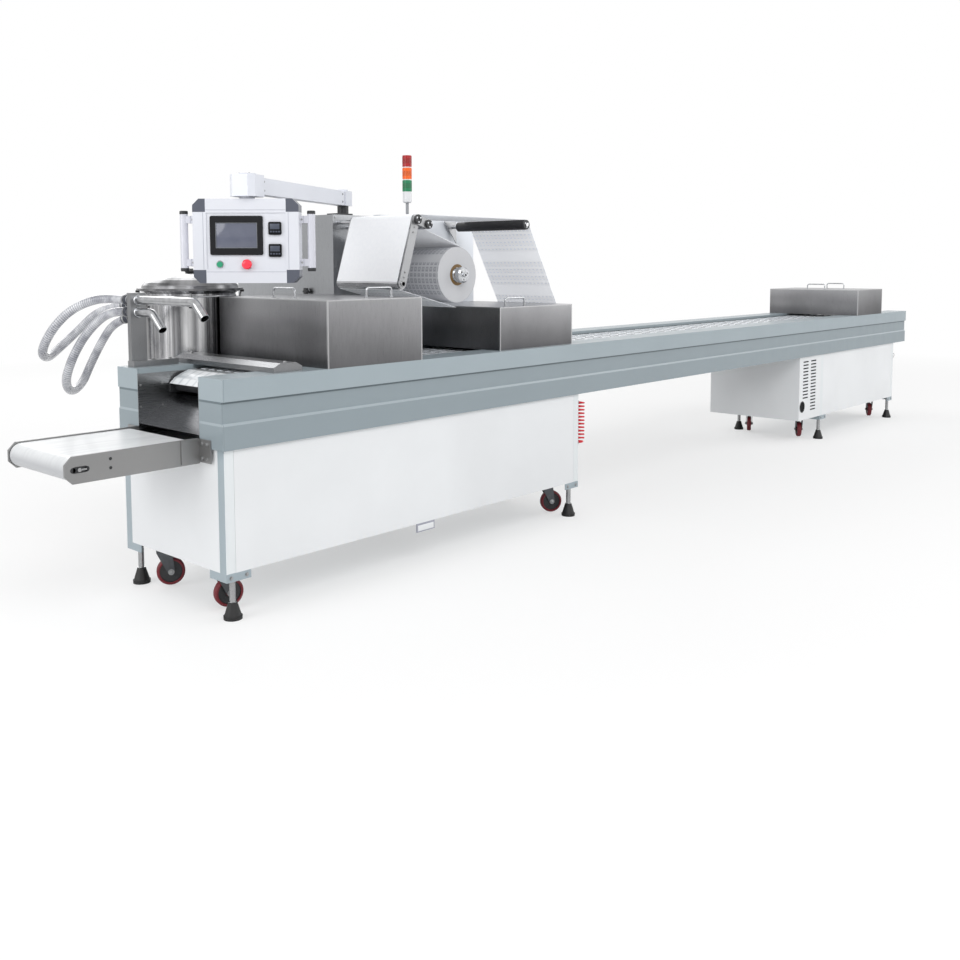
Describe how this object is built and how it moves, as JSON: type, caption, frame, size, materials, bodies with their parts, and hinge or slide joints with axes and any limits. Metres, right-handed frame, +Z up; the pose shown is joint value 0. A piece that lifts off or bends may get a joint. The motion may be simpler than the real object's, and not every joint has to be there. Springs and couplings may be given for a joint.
{
  "type": "syringe packaging machine",
  "caption": "Long form-fill-seal packaging machine: film bed between beams on cabinets, hooded stations, paper reel, swing-arm operator panel and outfeed belt.",
  "frame": {"origin": "on the floor under the middle of the machine's bounding box, hoses and air lines left out", "axes": "x along the beams from the outfeed end, y from the operator's side to the rear, z up"},
  "size_m": [8.223, 1.636, 2.074],
  "materials": {
    "beam_enamel": "satin",
    "cabinet_enamel": "satin",
    "post_enamel": "satin",
    "stainless": "brushed",
    "bright_steel": "polished",
    "film": "glossy",
    "dark_plastic": "matte",
    "belt_surface": "matte",
    "tread_rubber": "matte",
    "foot_rubber": "matte",
    "fork_steel": "satin",
    "paper": "matte",
    "panel_enamel": "satin",
    "screen_plastic": "glossy",
    "green_plastic": "glossy",
    "red_plastic": "glossy",
    "lamp_plastic": "glossy",
    "hose_plastic": "glossy",
    "coil_plastic": "glossy"
  },
  "bodies": {
    "base": {"front_beam": "beam_enamel", "rear_beam": "beam_enamel", "bed_trough": "stainless", "chain_guides": "dark_plastic", "film_web": "film", "outfeed_chute": "stainless", "outfeed_nose": "dark_plastic", "conveyor_frame": "stainless", "conveyor_belt": "belt_surface", "left_cabinet_frame": "post_enamel", "left_cabinet_panels": "cabinet_enamel", "right_cabinet_frame": "post_enamel", "right_cabinet_panels": "cabinet_enamel", "louvre_panel": "cabinet_enamel", "levelling_feet": "foot_rubber", "left_cover": "stainless", "middle_cover": "stainless", "right_cover": "stainless", "cover_handles": "bright_steel", "cross_bar": "stainless", "suction_post": "stainless", "suction_pipes": "bright_steel", "barrel_body": "stainless", "barrel_lid": "stainless", "electrical_housing": "stainless", "rear_panel": "cabinet_enamel", "web_rollers": "bright_steel", "dancer_arms": "stainless", "paper_web": "paper", "stack_light": "lamp_plastic", "arm_base": "dark_plastic", "upper_hose": "hose_plastic", "lower_hose": "hose_plastic", "air_coils": "coil_plastic", "regulator": "dark_plastic"},
    "arm": {"panel_arm": "beam_enamel"},
    "panel": {"panel_housing": "panel_enamel", "panel_instruments": "screen_plastic", "panel_handles": "panel_enamel"},
    "start": {"start_button": "green_plastic"},
    "stop": {"stop_button": "red_plastic"},
    "reel": {"paper_reel": "paper", "reel_chuck": "bright_steel"},
    "left_front_swivel_body": {"left_front_fork": "fork_steel"},
    "left_front_wheel_body": {"left_front_wheel": "tread_rubber"},
    "left_rear_swivel_body": {"left_rear_fork": "fork_steel"},
    "left_rear_wheel_body": {"left_rear_wheel": "tread_rubber"},
    "left_far_front_swivel_body": {"left_far_front_fork": "fork_steel"},
    "left_far_front_wheel_body": {"left_far_front_wheel": "tread_rubber"},
    "left_far_rear_swivel_body": {"left_far_rear_fork": "fork_steel"},
    "left_far_rear_wheel_body": {"left_far_rear_wheel": "tread_rubber"},
    "right_front_swivel_body": {"right_front_fork": "fork_steel"},
    "right_front_wheel_body": {"right_front_wheel": "tread_rubber"},
    "right_rear_swivel_body": {"right_rear_fork": "fork_steel"},
    "right_rear_wheel_body": {"right_rear_wheel": "tread_rubber"},
    "right_far_front_swivel_body": {"right_far_front_fork": "fork_steel"},
    "right_far_front_wheel_body": {"right_far_front_wheel": "tread_rubber"},
    "right_far_rear_swivel_body": {"right_far_rear_fork": "fork_steel"},
    "right_far_rear_wheel_body": {"right_far_rear_wheel": "tread_rubber"}
  },
  "joints": [
    {"name": "arm_swing", "type": "hinge", "parent": "base", "child": "arm", "pos_m": [-2.2135, -0.012, 1.77], "axis": [0, 0, 1], "range_deg": [-6, 65]},
    {"name": "panel_swivel", "type": "hinge", "parent": "arm", "child": "panel", "pos_m": [-3.14394, -0.4538, 1.755], "axis": [0, 0, 1], "range_deg": [-110, 110]},
    {"name": "start_press", "type": "slide", "parent": "panel", "child": "start", "axis": [0.7431, 0.6691, 0], "range_m": [0, 0.004], "stiffness_N_per_m": 600, "springref_m": -0.002},
    {"name": "stop_press", "type": "slide", "parent": "panel", "child": "stop", "axis": [0.7431, 0.6691, 0], "range_m": [0, 0.004], "stiffness_N_per_m": 600, "springref_m": -0.002},
    {"name": "reel_spin", "type": "hinge", "parent": "base", "child": "reel", "pos_m": [-1.9745, -0.409, 1.4], "axis": [0, 1, 0], "continuous": true},
    {"name": "left_front_swivel", "type": "hinge", "parent": "base", "child": "left_front_swivel_body", "pos_m": [-3.4405, -0.635, 0.188], "axis": [0, 0, 1], "continuous": true},
    {"name": "left_front_roll", "type": "hinge", "parent": "left_front_swivel_body", "child": "left_front_wheel_body", "pos_m": [-3.41345, -0.64225, 0.0705], "axis": [0.2588, 0.9659, 0], "continuous": true},
    {"name": "left_rear_swivel", "type": "hinge", "parent": "base", "child": "left_rear_swivel_body", "pos_m": [-3.4405, -0.181, 0.188], "axis": [0, 0, 1], "continuous": true},
    {"name": "left_rear_roll", "type": "hinge", "parent": "left_rear_swivel_body", "child": "left_rear_wheel_body", "pos_m": [-3.41578, -0.19415, 0.0705], "axis": [0.4695, 0.8829, 0], "continuous": true},
    {"name": "left_far_front_swivel", "type": "hinge", "parent": "base", "child": "left_far_front_swivel_body", "pos_m": [-1.2205, -0.635, 0.188], "axis": [0, 0, 1], "continuous": true},
    {"name": "left_far_front_roll", "type": "hinge", "parent": "left_far_front_swivel_body", "child": "left_far_front_wheel_body", "pos_m": [-1.19756, -0.65106, 0.0705], "axis": [0.5736, 0.8192, 0], "continuous": true},
    {"name": "left_far_rear_swivel", "type": "hinge", "parent": "base", "child": "left_far_rear_swivel_body", "pos_m": [-1.2205, -0.181, 0.188], "axis": [0, 0, 1], "continuous": true},
    {"name": "left_far_rear_roll", "type": "hinge", "parent": "left_far_rear_swivel_body", "child": "left_far_rear_wheel_body", "pos_m": [-1.19492, -0.19239, 0.0705], "axis": [0.4067, 0.9135, 0], "continuous": true},
    {"name": "right_front_swivel", "type": "hinge", "parent": "base", "child": "right_front_swivel_body", "pos_m": [2.2035, -0.635, 0.188], "axis": [0, 0, 1], "continuous": true},
    {"name": "right_front_roll", "type": "hinge", "parent": "right_front_swivel_body", "child": "right_front_wheel_body", "pos_m": [2.22671, -0.61934, 0.0705], "axis": [-0.5592, 0.829, 0], "continuous": true},
    {"name": "right_rear_swivel", "type": "hinge", "parent": "base", "child": "right_rear_swivel_body", "pos_m": [2.2035, -0.181, 0.188], "axis": [0, 0, 1], "continuous": true},
    {"name": "right_rear_roll", "type": "hinge", "parent": "right_rear_swivel_body", "child": "right_rear_wheel_body", "pos_m": [2.22845, -0.16829, 0.0705], "axis": [-0.454, 0.891, 0], "continuous": true},
    {"name": "right_far_front_swivel", "type": "hinge", "parent": "base", "child": "right_far_front_swivel_body", "pos_m": [3.7455, -0.635, 0.188], "axis": [0, 0, 1], "continuous": true},
    {"name": "right_far_front_roll", "type": "hinge", "parent": "right_far_front_swivel_body", "child": "right_far_front_wheel_body", "pos_m": [3.76975, -0.621, 0.0705], "axis": [-0.5, 0.866, 0], "continuous": true},
    {"name": "right_far_rear_swivel", "type": "hinge", "parent": "base", "child": "right_far_rear_swivel_body", "pos_m": [3.7455, -0.181, 0.188], "axis": [0, 0, 1], "continuous": true},
    {"name": "right_far_rear_roll", "type": "hinge", "parent": "right_far_rear_swivel_body", "child": "right_far_rear_wheel_body", "pos_m": [3.77146, -0.17051, 0.0705], "axis": [-0.3746, 0.9272, 0], "continuous": true}
  ]
}
